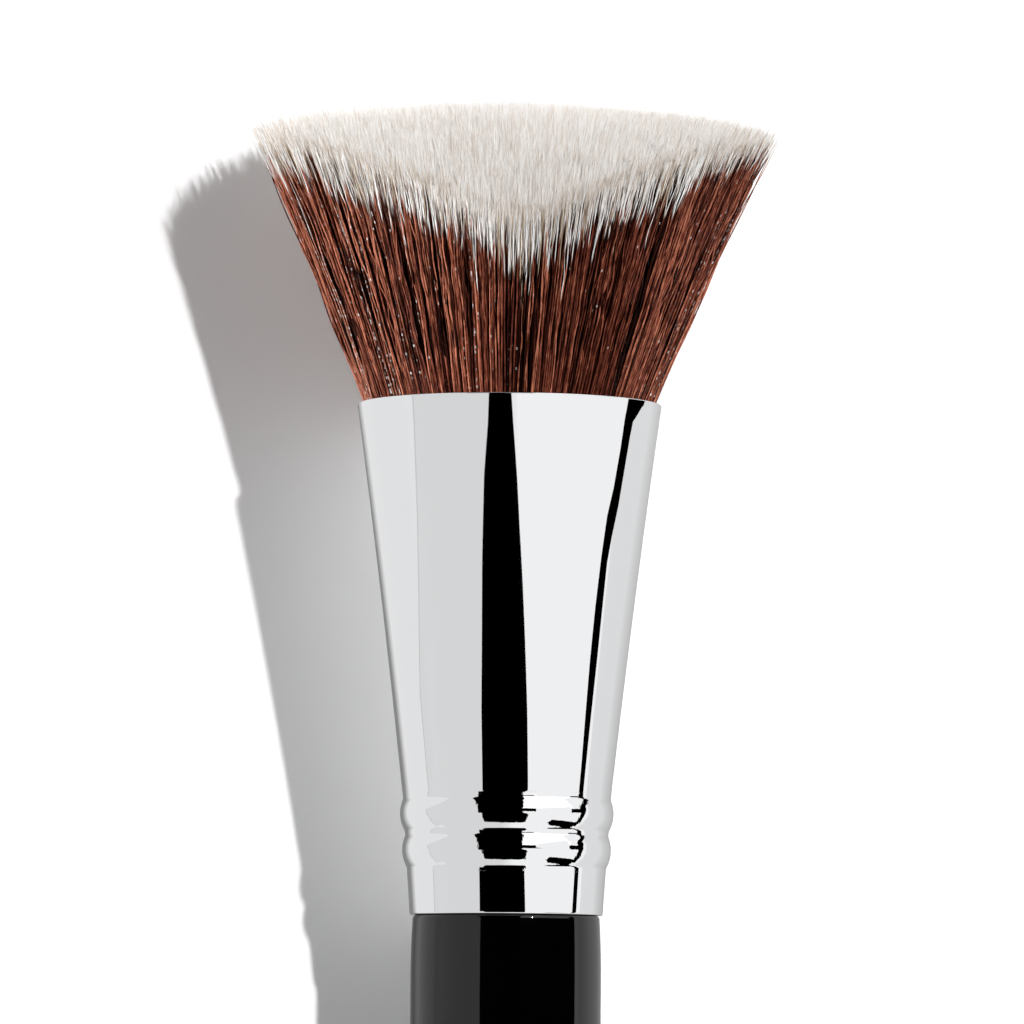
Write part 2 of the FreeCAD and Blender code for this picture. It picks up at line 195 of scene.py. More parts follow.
rises = np.concatenate([[0, 0.03, 0.08], np.arange(0.15, CONE_START + 0.6, 0.05),
                        np.linspace(CONE_START + 0.7, FERRULE_LENGTH - LIP_ROUND - 0.05, 90),
                        FERRULE_LENGTH - LIP_ROUND - np.array([0.012, 0])])
outside = eased(rises)
edge_round = 0.06 * np.clip(1 - rises / 0.08, 0, 1) ** 2
inside = np.linspace(FERRULE_LENGTH - LIP_ROUND, 0, 60)
inner_edge = outside[-1] - FERRULE_WALL + LIP_ROUND
ferrule_profile = np.concatenate([
    np.stack([rises, outside - edge_round], axis=1),
    arc_profile(FERRULE_LENGTH - LIP_ROUND, outside[-1] - LIP_ROUND, LIP_ROUND, 80, 0, 6),
    arc_profile(FERRULE_LENGTH - LIP_ROUND, inner_edge, LIP_ROUND, 0, -80, 6),
    np.stack([inside, ferrule_outside(inside) - FERRULE_WALL], axis=1),
])
ferrule_profile[:, 0] += HANDLE_END
ferrule = turned_piece("plated_ferrule", ferrule_profile, 192, closed=True)

plate, tree, shader = new_finish("polished bright plate")
shader.inputs["Base Color"].default_value = (0.86, 0.865, 0.875, 1)
shader.inputs["Metallic"].default_value = 1
place = linked(tree, "ShaderNodeTexCoord").outputs["Object"]
haze = linked(tree, "ShaderNodeTexNoise", {"Vector": place, "Scale": 160, "Detail": 5})
gloss = linked(tree, "ShaderNodeMapRange", {"Value": haze.outputs["Fac"], "To Min": 0.01, "To Max": 0.03})
tree.links.new(gloss.outputs["Result"], shader.inputs["Roughness"])
BEADS_MIDDLE, BEADS_HALF = 6.4, 0.0031
along = linked(tree, "ShaderNodeVectorMath", {0: place, 1: ALONG.tolist()}, operation="DOT_PRODUCT")
bead_middle = float(ALONG @ on_brush(HANDLE_END + BEADS_MIDDLE, 0, 0))
on_beads = linked(tree, "ShaderNodeMath", {0: along.outputs["Value"], 1: bead_middle, 2: BEADS_HALF},
                  operation="COMPARE").outputs[0]
marks = linked(tree, "ShaderNodeTexNoise", {"Vector": place, "Scale": 4200, "Detail": 2}).outputs["Fac"]
rolled = linked(tree, "ShaderNodeMath", {0: marks, 1: on_beads}, operation="MULTIPLY").outputs[0]
relief = linked(tree, "ShaderNodeBump", {"Height": rolled, "Strength": 0.12, "Distance": 0.00003})
tree.links.new(relief.outputs["Normal"], shader.inputs["Normal"])
ferrule.data.materials.append(plate)
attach(ferrule, "root")
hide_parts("ferrule")

# What holds the pieces together, sealed inside the ferrule: the adhesive round the tenon, the
# resin plug cast round the roots of the fibres, and the thread that binds them while it sets.
# They keep the shapes of the solids.

for node, name, colour, rough, grain in (
    ("tenon_adhesive", "cured adhesive", (0.62, 0.5, 0.28, 1), 0.5, 300),
    ("resin_plug", "amber resin", (0.4, 0.2, 0.05, 1), 0.15, 120),
    ("binding_thread", "polyester thread", (0.72, 0.69, 0.62, 1), 0.7, 2500),
):
    material, tree, shader = new_finish(name)
    shader.inputs["Roughness"].default_value = rough
    place = linked(tree, "ShaderNodeTexCoord").outputs["Object"]
    mottle = linked(tree, "ShaderNodeTexNoise", {"Vector": place, "Scale": grain, "Detail": 3})
    deeper = tuple(0.6 * part for part in colour[:3]) + (1,)
    tint = linked(tree, "ShaderNodeMix", {"Factor": mottle.outputs["Fac"], "A": deeper, "B": colour},
                  data_type="RGBA")
    tree.links.new(tint.outputs["Result"], shader.inputs["Base Color"])
    relief = linked(tree, "ShaderNodeBump", {"Height": mottle.outputs["Fac"], "Strength": 0.3,
                                             "Distance": 0.0001})
    tree.links.new(relief.outputs["Normal"], shader.inputs["Normal"])
    solid = frame["nodes"][node]
    solid.data.materials.clear()
    solid.data.materials.append(material)

# Tuft core. The middle of the fibre bundle, packed so close that no light passes, and coloured near-black
# as painted shade. The outer fibres lie over its sides, and the tips of the inner fibres stand out of its top.

MOUTH = HANDLE_END + FERRULE_LENGTH
TUFT_HEIGHT = 25.6
BUNDLE_RADIUS = MOUTH_RADIUS - FERRULE_WALL - 0.15
TIP_SIDE, TIP_FRONT, TIP_BACK = 21.8, 21.5, 15.0
TIP_LEAN = -0.5
SIDE_ROUND, FRONT_ROUND, BACK_ROUND = 6.0, 4.0, 32.0
SLANT_ROUND, SLANT_LEAD, CROSS_ROUND = 62.5, 6.5, 180.0


def pick_half(side, front, back, side_round, front_round, back_round, steps=400):
    """The left half of a pick shape, as points from the front edge to the widest place and from
    there to the middle of the back: a round front edge, a straight side, a round corner and a
    shallow back, each tangent to the next."""
    corner = side - side_round
    back_middle = back_round - back
    corner_height = back_middle - math.sqrt((back_round - side_round) ** 2 - corner**2)
    front_middle = front - front_round
    rise = front_middle - corner_height
    square = math.atan2(rise, -corner) - math.acos((side_round - front_round) / math.hypot(rise, corner))
    away = math.atan2(corner_height - back_middle, corner)
    share = np.linspace(0, 1, steps)[:, None]

    def round_edge(across, height, size, start, end):
        angle = start + (end - start) * share
        return np.hstack([across + size * np.cos(angle), height + size * np.sin(angle)])

    front_edge = round_edge(0, front_middle, front_round, np.pi / 2, square)
    corner_edge = round_edge(corner, corner_height, side_round, square, 0)
    straight = front_edge[-1] + (corner_edge[0] - front_edge[-1]) * share
    return (np.concatenate([front_edge, straight, corner_edge]),
            np.concatenate([round_edge(corner, corner_height, side_round, 0, away),
                            round_edge(0, back_middle, back_round, away, -np.pi / 2)]))


def fanned_edges(count=288):
    """Where the outermost fibres leave the mouth, at equal angles round its circle, and where they
    reach the tips' plane: their distance to the side grows in one ratio, and their height there
    follows the pick shape."""
    angle = np.arange(count) * 2 * np.pi / count
    across, height = np.cos(angle), np.sin(angle)
    front, back = pick_half(TIP_SIDE, TIP_FRONT, TIP_BACK, SIDE_ROUND, FRONT_ROUND, BACK_ROUND)
    reach = TIP_SIDE * np.abs(across)
    tip_height = np.where(height > 0, np.interp(reach, *front.T), np.interp(reach, *back[::-1].T))
    return (BUNDLE_RADIUS * np.stack([across, height], axis=1),
            np.stack([TIP_SIDE * across + TIP_LEAN, tip_height], axis=1))


def tips_at(across):
    """Station of the tip surface over (side, height) points: an arc from back to front, swung
    about a far axis so that it falls to both sides."""
    side, height = across[..., 0], across[..., 1]
    top = MOUTH + TUFT_HEIGHT
    slant_middle = top - math.sqrt(SLANT_ROUND**2 - SLANT_LEAD**2)
    from_crest = height + TIP_BACK + SLANT_LEAD
    middle = slant_middle + np.sqrt(SLANT_ROUND**2 - np.clip(from_crest, 0, 0.95 * SLANT_ROUND) ** 2)
    pivot = top - CROSS_ROUND
    return pivot + np.sqrt((middle - pivot) ** 2 - side**2)


def full_length(base, lean):
    """Share of the tuft's height at which fibres from base, leaning by lean, meet the tip surface."""
    share = np.full(base.shape[:-1], 0.8)
    for _ in range(30):
        share = (share + (tips_at(base + share[..., None] * lean) - MOUTH) / TUFT_HEIGHT) / 2
    return share


mouth_edge, tip_edge = fanned_edges()

CORE_SHARE, CORE_DEPTH, CORE_ROOT, CORE_ROWS = 0.86, 0.2, 0.1, 14
CORE_OVER_TABLE = 0.0006
core_base, core_lean = CORE_SHARE * mouth_edge, CORE_SHARE * (tip_edge - mouth_edge)
core_top = full_length(core_base, core_lean) - CORE_DEPTH
core_rows = np.linspace(0, 1, CORE_ROWS)[:, None] * (core_top + CORE_ROOT) - CORE_ROOT
core_across = core_base + core_rows[..., None] * core_lean
core_rings = on_brush(MOUTH + TUFT_HEIGHT * core_rows, core_across[..., 0], core_across[..., 1])
core_rings[..., 2] = np.maximum(core_rings[..., 2], CORE_OVER_TABLE)
sides = core_rings.shape[1]
index = np.arange(core_rings.size // 3).reshape(-1, sides)
quads = np.stack([index[:-1], index[1:], np.roll(index[1:], -1, 1), np.roll(index[:-1], -1, 1)], axis=2)
cap_low, cap_high = index.size, index.size + 1
middle_high = full_length(np.zeros((1, 2)), np.zeros((1, 2)))[0] - CORE_DEPTH
caps = on_brush(MOUTH + TUFT_HEIGHT * np.array([-CORE_ROOT, middle_high]), 0, 0)
low_ring = np.stack([np.full(sides, cap_low), index[0], np.roll(index[0], -1)], axis=1)
high_ring = np.stack([np.full(sides, cap_high), np.roll(index[-1], -1), index[-1]], axis=1)
mesh = bpy.data.meshes.new("tuft_core")
mesh.from_pydata(np.concatenate([core_rings.reshape(-1, 3), caps]).tolist(), [],
                 quads.reshape(-1, 4).tolist() + low_ring.tolist() + high_ring.tolist())
mesh.polygons.foreach_set("use_smooth", np.ones(len(mesh.polygons), bool))
core = bpy.data.objects.new("tuft_core", mesh)
bpy.context.collection.objects.link(core)

packed, tree, shader = new_finish("packed fibre in painted shade")
shader.inputs["Roughness"].default_value = 0.7
place = linked(tree, "ShaderNodeTexCoord").outputs["Object"]
drawn = linked(tree, "ShaderNodeMapping", {"Vector": place, "Scale": (60, 2500, 2500)})
streak = linked(tree, "ShaderNodeTexNoise", {"Vector": drawn.outputs["Vector"], "Scale": 1, "Detail": 3})
# Near-black browns: the painted shade of the packed middle.
tint = linked(tree, "ShaderNodeMix", {"Factor": streak.outputs["Fac"], "A": (0.004, 0.001, 0.0008, 1),
                                      "B": (0.03, 0.008, 0.005, 1)}, data_type="RGBA")
tree.links.new(tint.outputs["Result"], shader.inputs["Base Color"])
core.data.materials.append(packed)
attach(core, "root")
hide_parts("fibre_tuft")

# Fibres. Drawn synthetic filaments, each tapered to a point over its last few millimetres.
# They are dyed brown and their tips are left white. They are cut to one shape, bound at the root,
# and fan out of the ferrule in strands that cling together. Their colour also holds painted light:
# painted glints, a lighter left half and edges, and painted shade deeper in and towards the root.

rng = np.random.default_rng(20)
PLANT_JITTER = 0.8

following = np.roll(tip_edge, -1, axis=0)
tip_wedges = np.abs(tip_edge[:, 0] * following[:, 1] - tip_edge[:, 1] * following[:, 0])
middle_edge = (mouth_edge + tip_edge) / 2
middle_lengths = np.linalg.norm(np.roll(middle_edge, -1, axis=0) - middle_edge, axis=1)


def planted(count, least, most, gain, share):
    """Roots between two shares of the tip outline's reach, one in each of equal parts round it.

    The parts are equal in the sum of share, which has a value for each edge of the outline, and
    the reach has a gain from root to tip. Returns each root's point at the mouth, its lean up to
    the tips' plane and its reach.
    """
    part = (np.arange(count) + 0.5 + PLANT_JITTER * (rng.random(count) - 0.5)) / count
    place = np.interp(part, np.append(0, np.cumsum(share)) / share.sum(), np.arange(len(share) + 1))
    pick = place.astype(int) % len(share)
    slide = (place % 1)[:, None]
    reach = np.sqrt(least**2 + (most**2 - least**2) * rng.random((count, 1)))
    base = (1 - slide) * mouth_edge[pick] + slide * np.roll(mouth_edge, -1, axis=0)[pick]
    tip = (1 - slide) * tip_edge[pick] + slide * following[pick]
    return reach * base, (reach + gain) * tip - reach * base, reach[:, 0]


STRANDS_PLANTED, LEFT_STRANDS, SIDE_FULL = 5000, 0.3, 12.0
STRAND_TONE, STRAND_WHITE, STRAND_SWAY = 0.07, 0.45, 0.11
strand_base, strand_lean, _ = planted(STRANDS_PLANTED, 0.0, 1.0, 0.0, tip_wedges)
thinned = np.interp((strand_base + strand_lean)[:, 0], (0, SIDE_FULL), (1.0, LEFT_STRANDS))
kept = rng.random(STRANDS_PLANTED) < thinned
strand_base, strand_lean = strand_base[kept], strand_lean[kept]
strands = len(strand_base)
strand_tone = rng.normal(0, STRAND_TONE, strands)
strand_white = rng.normal(0, STRAND_WHITE, strands)
strand_sway = rng.normal(0, STRAND_SWAY, (strands, 2))
strand_phase = rng.random(strands) * 2 * np.pi


def nearest_strand(base):
    """Index of the strand whose root is closest to each fibre's root, found in batches."""
    return np.concatenate([
        np.argmin(((part[:, None] - strand_base[None]) ** 2).sum(axis=2), axis=1)
        for part in np.array_split(base, max(1, len(base) // 2000))
    ])


def ramp(value, start, width):
    """0 up to a start, then rising straight to 1 over a width."""
    return np.clip((value - start) / width, 0, 1)


TIP_OVERRUN, TIP_FLARE, TIP_SPREAD = 0.6, 0.03, 0.22
CUT_SPREAD, SHORT_LENGTH = 0.3, 1.6
CORNER_START, CORNER_WIDTH, CORNER_SHORT, CORNER_LEAN = 17.0, 4.0, 0.3, 0.3
ROOT_SHARE, LENGTH_PER_RISE = -0.08, 1.06
STRAND_PULL, STRAND_RELEASE, STRAND_RATE = 0.6, 7.0, 3.6
LONG_RATES, SHORT_RATES = (12, 28), (34, 58)
STRAY_REACH, STRAY_GAIN = (0.25, 0.9), 3


def fibre_lines(base, lean, strand, levels, depth, short_share, sway, crimp, stray_share):
    """Centre lines of fibres as (fibre, level) arrays of station, side and height in millimetres.

    Each runs straight from its root to the tip surface, or over a depth below it. Towards its
    strand's middle it is drawn in by a share that swells over its length, and it sways with the
    strand, and by itself in a long wave and a short one. Some are shorter, and a few stray out of
    the bundle, most of them at its two corners.
    """
    count = len(base)
    shorter = rng.random(count) < short_share
    short = np.where(shorter, rng.exponential(SHORT_LENGTH, count), np.abs(rng.normal(0, CUT_SPREAD, count)))
    corner = ramp(np.abs((base + lean)[:, 0] - TIP_LEAN), CORNER_START, CORNER_WIDTH)
    short = short + CORNER_SHORT * corner * rng.random(count)
    end = full_length(base, lean) + (TIP_OVERRUN - short) / TUFT_HEIGHT
    start = np.full(count, ROOT_SHARE) if depth is None else end - depth / TUFT_HEIGHT
    share = start[:, None] + (end - start)[:, None] * np.linspace(0, 1, levels)
    up = np.clip(share, 0, None)[..., None]
    from_tip = (end[:, None] - share) * TUFT_HEIGHT * LENGTH_PER_RISE
    line = (base[:, None] + share[..., None] * lean[:, None]) * (1 + TIP_FLARE * up**6)

    middle = strand_base[strand][:, None] + share[..., None] * strand_lean[strand][:, None]
    pull = STRAND_PULL * np.clip(5 * up, 0, 1) * np.clip(from_tip[..., None] / STRAND_RELEASE, 0.1, 1)
    line = line + (middle - line) * pull * rng.uniform(0.3, 1.0, (count, 1, 1))
    phase = strand_phase[strand][:, None, None]
    line = line + up * (np.sin(STRAND_RATE * up + phase) - np.sin(phase)) * strand_sway[strand][:, None]

    long_reach = rng.normal(0, sway, (count, 1, 2))
    short_reach = crimp * np.clip(rng.normal(0, 1, (count, 1, 2)), -1.6, 1.6)
    short_reach = short_reach * np.clip(rng.exponential(1, (count, 1, 1)), 0, 2.2)
    for rates, reach in ((LONG_RATES, long_reach), (SHORT_RATES, short_reach)):
        phase = rng.random((count, 1, 1)) * 2 * np.pi
        wave = np.sin(rng.uniform(*rates, (count, 1, 1)) * up + phase) - np.sin(phase)
        line = line + np.clip(4 * up, 0, 1) * wave * reach
    line = line + up**1.6 * TIP_SPREAD * rng.normal(0, 1, (count, 1, 2))

    outwards = base / np.linalg.norm(base, axis=1, keepdims=True)
    strays = rng.random(count) < stray_share * (1 + STRAY_GAIN * corner)
    stray = np.where(strays, rng.uniform(*STRAY_REACH, count), 0)
    bow = stray[:, None, None] * up**1.5 + CORNER_LEAN * corner[:, None, None] * up**4
    return MOUTH + TUFT_HEIGHT * share, line + bow * outwards[:, None], from_tip


FIBRE_TAPER, TAPER_POWER, TABLE_PLAY = 8.0, 0.55, 0.00002
SHARP_THREE, SHARP_MORE = math.radians(60), math.radians(100)
FLAT_LOW, FLAT_HIGH, FLAT_WIDTH = 0.15, 0.95, 0.9
ROOT_PLACE, ROOT_SIZE, CELL_MARGIN = 0.06, 0.05, 0.04


def fibre_piece(name, sides, thickness, station, line, from_tip, marks):
    """Closed spikes along centre lines: a regular polygon across each level and a point at the tip.

    The radius falls with a power of the distance from the tip. Fibres that would pass through the
    table lie on it, and those with three sides keep their long edges sharp. Each fibre's flat
    pattern has a cell of its own in a square grid: its root's polygon, and over it the sides next
    to each other. Each mark is stored as an attribute of the points.
    """
    count, levels = station.shape
    middle = on_brush(station, line[..., 0], line[..., 1])
    radius = thickness * np.clip(from_tip / FIBRE_TAPER, 0, 1) ** TAPER_POWER / 1000
    middle[..., 2] = np.maximum(middle[..., 2], radius + TABLE_PLAY * rng.random((count, 1)))
    turn = rng.random((count, 1, 1)) * 2 * np.pi + np.arange(sides) * 2 * np.pi / sides
    ring = radius[..., None, None] * (np.cos(turn)[..., None] * SIDEWAYS + np.sin(turn)[..., None] * UPWARDS)
    rings = (middle[:, :, None] + ring)[:, :-1]
    rows = levels - 1
    points = np.concatenate([rings.reshape(count, rows * sides, 3), middle[:, -1:]], axis=1)
    corner = np.arange(rows * sides).reshape(rows, sides)
    low, high = corner[:-1], corner[1:]
    low_next, high_next = np.roll(low, -1, 1), np.roll(high, -1, 1)
    fan = np.arange(1, sides - 1)
    faces = np.concatenate([
        np.stack([0 * fan, fan + 1, fan], axis=1),
        np.stack([low, low_next, high_next], axis=2).reshape(-1, 3),
        np.stack([low, high_next, high], axis=2).reshape(-1, 3),
        np.stack([corner[-1], np.roll(corner[-1], -1), np.full(sides, rows * sides)], axis=1),
    ])
    every = (faces[None] + np.arange(count)[:, None, None] * points.shape[1]).reshape(-1, 3)
    mesh = bpy.data.meshes.new(name)
    mesh.vertices.add(points.shape[0] * points.shape[1])
    mesh.vertices.foreach_set("co", points.ravel())
    mesh.loops.add(every.size)
    mesh.loops.foreach_set("vertex_index", every.ravel())
    mesh.polygons.add(len(every))
    mesh.polygons.foreach_set("loop_start", np.arange(0, every.size, 3))
    mesh.polygons.foreach_set("use_smooth", np.ones(len(every), bool))
    mesh.update(calc_edges=True)
    mesh.set_sharp_from_angle(angle=SHARP_THREE if sides == 3 else SHARP_MORE)

    edge = np.broadcast_to(np.arange(sides), (rows - 1, sides)) / sides
    width = FLAT_WIDTH / sides
    step = (FLAT_HIGH - FLAT_LOW) / rows
    floor = (FLAT_LOW + step * np.arange(rows - 1))[:, None] + 0 * edge
    ceiling = floor + step
    around = np.arange(sides) * 2 * np.pi / sides
    root = ROOT_PLACE + ROOT_SIZE * np.stack([np.cos(around), np.sin(around)], axis=1)
    flat = np.concatenate([
        np.stack([root[0 * fan], root[fan + 1], root[fan]], axis=1),
        np.stack([np.stack([edge, floor], 2), np.stack([edge + width, floor], 2),
                  np.stack([edge + width, ceiling], 2)], axis=2).reshape(-1, 3, 2),
        np.stack([np.stack([edge, floor], 2), np.stack([edge + width, ceiling], 2),
                  np.stack([edge, ceiling], 2)], axis=2).reshape(-1, 3, 2),
        np.stack([np.stack([edge[0], ceiling[-1]], 1), np.stack([edge[0] + width, ceiling[-1]], 1),
                  np.stack([edge[0] + width / 2, FLAT_HIGH + 0 * edge[0]], 1)], axis=1),
    ])
    cells = math.ceil(math.sqrt(count))
    cell = np.stack(np.divmod(np.arange(count), cells), axis=1)[:, None, None]
    layout = (cell + CELL_MARGIN + (1 - 2 * CELL_MARGIN) * flat[None]) / cells
    mesh.uv_layers.new(name="OFBake").data.foreach_set("uv", layout.astype(np.float32).ravel())

    for key, values in {"from_tip": from_tip, **marks}.items():
        values = values.reshape(count, -1) + 0 * from_tip
        values = np.concatenate([np.repeat(values[:, :-1], sides, axis=1), values[:, -1:]], axis=1)
        layer = mesh.attributes.new(key, "FLOAT", "POINT")
        layer.data.foreach_set("value", values.astype(np.float32).ravel())
    piece = bpy.data.objects.new(name, mesh)
    bpy.context.collection.objects.link(piece)
    return piece


def colour_ramp(tree, value, stops):
    """A ramp through (place, colour) stops, of which the first is at 0 and the last at 1."""
    node = linked(tree, "ShaderNodeValToRGB", {"Fac": value})
    steps = node.color_ramp.elements
    steps[0].color, steps[1].color = (*stops[0][1], 1), (*stops[-1][1], 1)
    for place, colour in stops[1:-1]:
        steps.new(place).color = (*colour, 1)
    return node.outputs["Color"]


BROWNS = ((0, (0.003, 0.0005, 0.0003)), (0.3, (0.045, 0.009, 0.005)), (0.6, (0.22, 0.058, 0.033)),
          (1, (0.6, 0.21, 0.125)))
CREAMS = ((0, (0.55, 0.42, 0.3)), (0.35, (0.955, 0.935, 0.91)), (1, (0.99, 0.985, 0.975)))
# GLINT is the colour of painted glints: pale dashes painted along some fibres where light would glance off
# them.
GLINT = (0.95, 0.92, 0.9, 1)
PAINTED_GLINT_LENGTH, PAINTED_GLINT_MOST = 0.2, 0.9
DYE_FADE = (-0.45, 0.55)

dyed_with_painted_light, tree, shader = new_finish("dyed fibre with painted light")
from_tip, white_length, tone, pale, own, painted_glints = (
    linked(tree, "ShaderNodeAttribute", attribute_name=mark).outputs["Fac"]
    for mark in ("from_tip", "white_length", "tone", "pale", "own", "painted_glints")
)
# Patches of lighter and darker brown along each fibre: partly random tone, partly painted highlight and shade
# where fibres twist and pass under others.
on_fibre = linked(tree, "ShaderNodeCombineXYZ", {0: from_tip, 1: own}).outputs["Vector"]
patchy = linked(tree, "ShaderNodeTexNoise", {"Vector": on_fibre, "Scale": 1.0, "Detail": 2}).outputs["Fac"]
uneven = linked(tree, "ShaderNodeMapRange", {"Value": patchy, "From Min": 0.3, "From Max": 0.7,
                                             "To Min": 0.62, "To Max": 1.38}).outputs["Result"]
tone = linked(tree, "ShaderNodeMath", {0: tone, 1: uneven}, operation="MULTIPLY").outputs[0]
# Painted glints: short pale pieces along a fibre, painted where light would glance off the fibres.
piece_place = linked(tree, "ShaderNodeMath", {0: from_tip, 1: PAINTED_GLINT_LENGTH}, operation="SNAP").outputs[0]
short_piece = linked(tree, "ShaderNodeCombineXYZ", {0: piece_place, 1: own}).outputs["Vector"]
chance = linked(tree, "ShaderNodeTexWhiteNoise", {"Vector": short_piece}, noise_dimensions="3D")
painted_glint = linked(tree, "ShaderNodeMapRange", {"Value": chance.outputs["Value"], "From Min": 0.0,
                                            "From Max": painted_glints, "To Min": PAINTED_GLINT_MOST,
                                            "To Max": 0.0}).outputs["Result"]
beyond = linked(tree, "ShaderNodeMath", {0: from_tip, 1: white_length}, operation="SUBTRACT").outputs[0]
undyed = linked(tree, "ShaderNodeMapRange", {"Value": beyond, "From Min": DYE_FADE[0],
                                             "From Max": DYE_FADE[1], "To Min": 1, "To Max": 0},
                interpolation_type="SMOOTHSTEP")
glinting = linked(tree, "ShaderNodeMix", {"Factor": painted_glint, "A": colour_ramp(tree, tone, BROWNS), "B": GLINT},
                  data_type="RGBA")
colour = linked(tree, "ShaderNodeMix", {"Factor": undyed.outputs["Result"], "A": glinting.outputs["Result"],
                                        "B": colour_ramp(tree, pale, CREAMS)}, data_type="RGBA")
tree.links.new(colour.outputs["Result"], shader.inputs["Base Color"])
shader.inputs["Roughness"].default_value = 0.24
shader.inputs["Specular IOR Level"].default_value = 0.04

# The groups of fibres, from the surface inwards. Each has its own part of the bundle, its own
# fineness and habit of growth, and its tones of brown at four heights, darker towards the root and in
# the deeper groups: painted shade. The under and filling groups' lower paleness tans their white tips:
# painted shade too.

SHADE_HEIGHTS = (0.0, 0.3, 0.55, 0.8)
FIBRE_GROUPS = (
    dict(name="surface", pieces=1, count=385, least=0.993, most=1.0, gain=0.0, share=middle_lengths,
         sides=5, thickness=0.063, levels=41, depth=None, short_share=0.03, sway=0.07, crimp=0.035,
         stray_share=0.05, has_painted_glints=True, paleness=0.58, painted_shade_tones=(0.44, 0.55, 0.56, 0.56)),
    dict(name="rising", pieces=1, count=400, least=0.982, most=0.99, gain=0.01, share=middle_lengths,
         sides=5, thickness=0.063, levels=41, depth=None, short_share=0.03, sway=0.07, crimp=0.035,
         stray_share=0.02, has_painted_glints=True, paleness=0.58, painted_shade_tones=(0.08, 0.3, 0.5, 0.54)),
    dict(name="under", pieces=1, count=900, least=0.965, most=0.985, gain=0.002, share=middle_lengths,
         sides=4, thickness=0.066, levels=24, depth=None, short_share=0.03, sway=0.1, crimp=0.02,
         stray_share=0.0, has_painted_glints=False, paleness=0.35, painted_shade_tones=(0.03, 0.08, 0.15, 0.42)),
    dict(name="filling", pieces=2, count=4000, least=0.86, most=0.965, gain=0.0, share=tip_wedges,
         sides=3, thickness=0.075, levels=8, depth=None, short_share=0.03, sway=0.1, crimp=0.0,
         stray_share=0.0, has_painted_glints=False, paleness=0.35, painted_shade_tones=(0.02, 0.02, 0.08, 0.46)),
    dict(name="inner", pieces=6, count=10000, least=0.0, most=0.86, gain=0.0, share=tip_wedges,
         sides=3, thickness=0.06, levels=4, depth=9.0, short_share=0.12, sway=0.06, crimp=0.0,
         stray_share=0.0, has_painted_glints=False, paleness=0.57, painted_shade_tones=(0.4, 0.4, 0.4, 0.4)),
)
WHITE_REACHES, WHITE_LENGTHS = (0.62, 0.8, 0.95, 0.985), (6.0, 1.6, 1.6, 3.4)
WHITE_SPREAD, WHITE_LEAST = 0.65, 1.3
RIDGE_SIDE, RIDGE_WIDTH, RIDGE_WHITE = -0.5, 1.4, 1.2
FAR_START, FAR_WIDTH, FAR_WHITE = 14.5, 6.0, -1.7
OUTER_START, OUTER_WIDTH = 0.9, 0.06
EDGE_START, EDGE_WIDTH = 17.5, 3.0
SUNK_START, SUNK_WIDTH, SUNK_PAINTED_SHADE = 0.995, 0.008, 0.15
FULL_TONE, LEFT_PAINTED_LIGHT, RIGHT_PAINTED_SHADE, EDGE_PAINTED_LIGHT = 1.05, 0.26, 0.05, 0.25
PAINTED_GLINT_SHARE, PAINTED_GLINT_EDGE, PAINTED_GLINT_LIGHT = 0.25, 0.5, 0.3
TONE_SPREAD, PALE_SPREAD = 0.36, 0.42
PAINTED_GLINTS_NONE, PAINTED_GLINTS_LEAST, PAINTED_GLINTS_MORE = 1e-6, 0.0012, 0.4

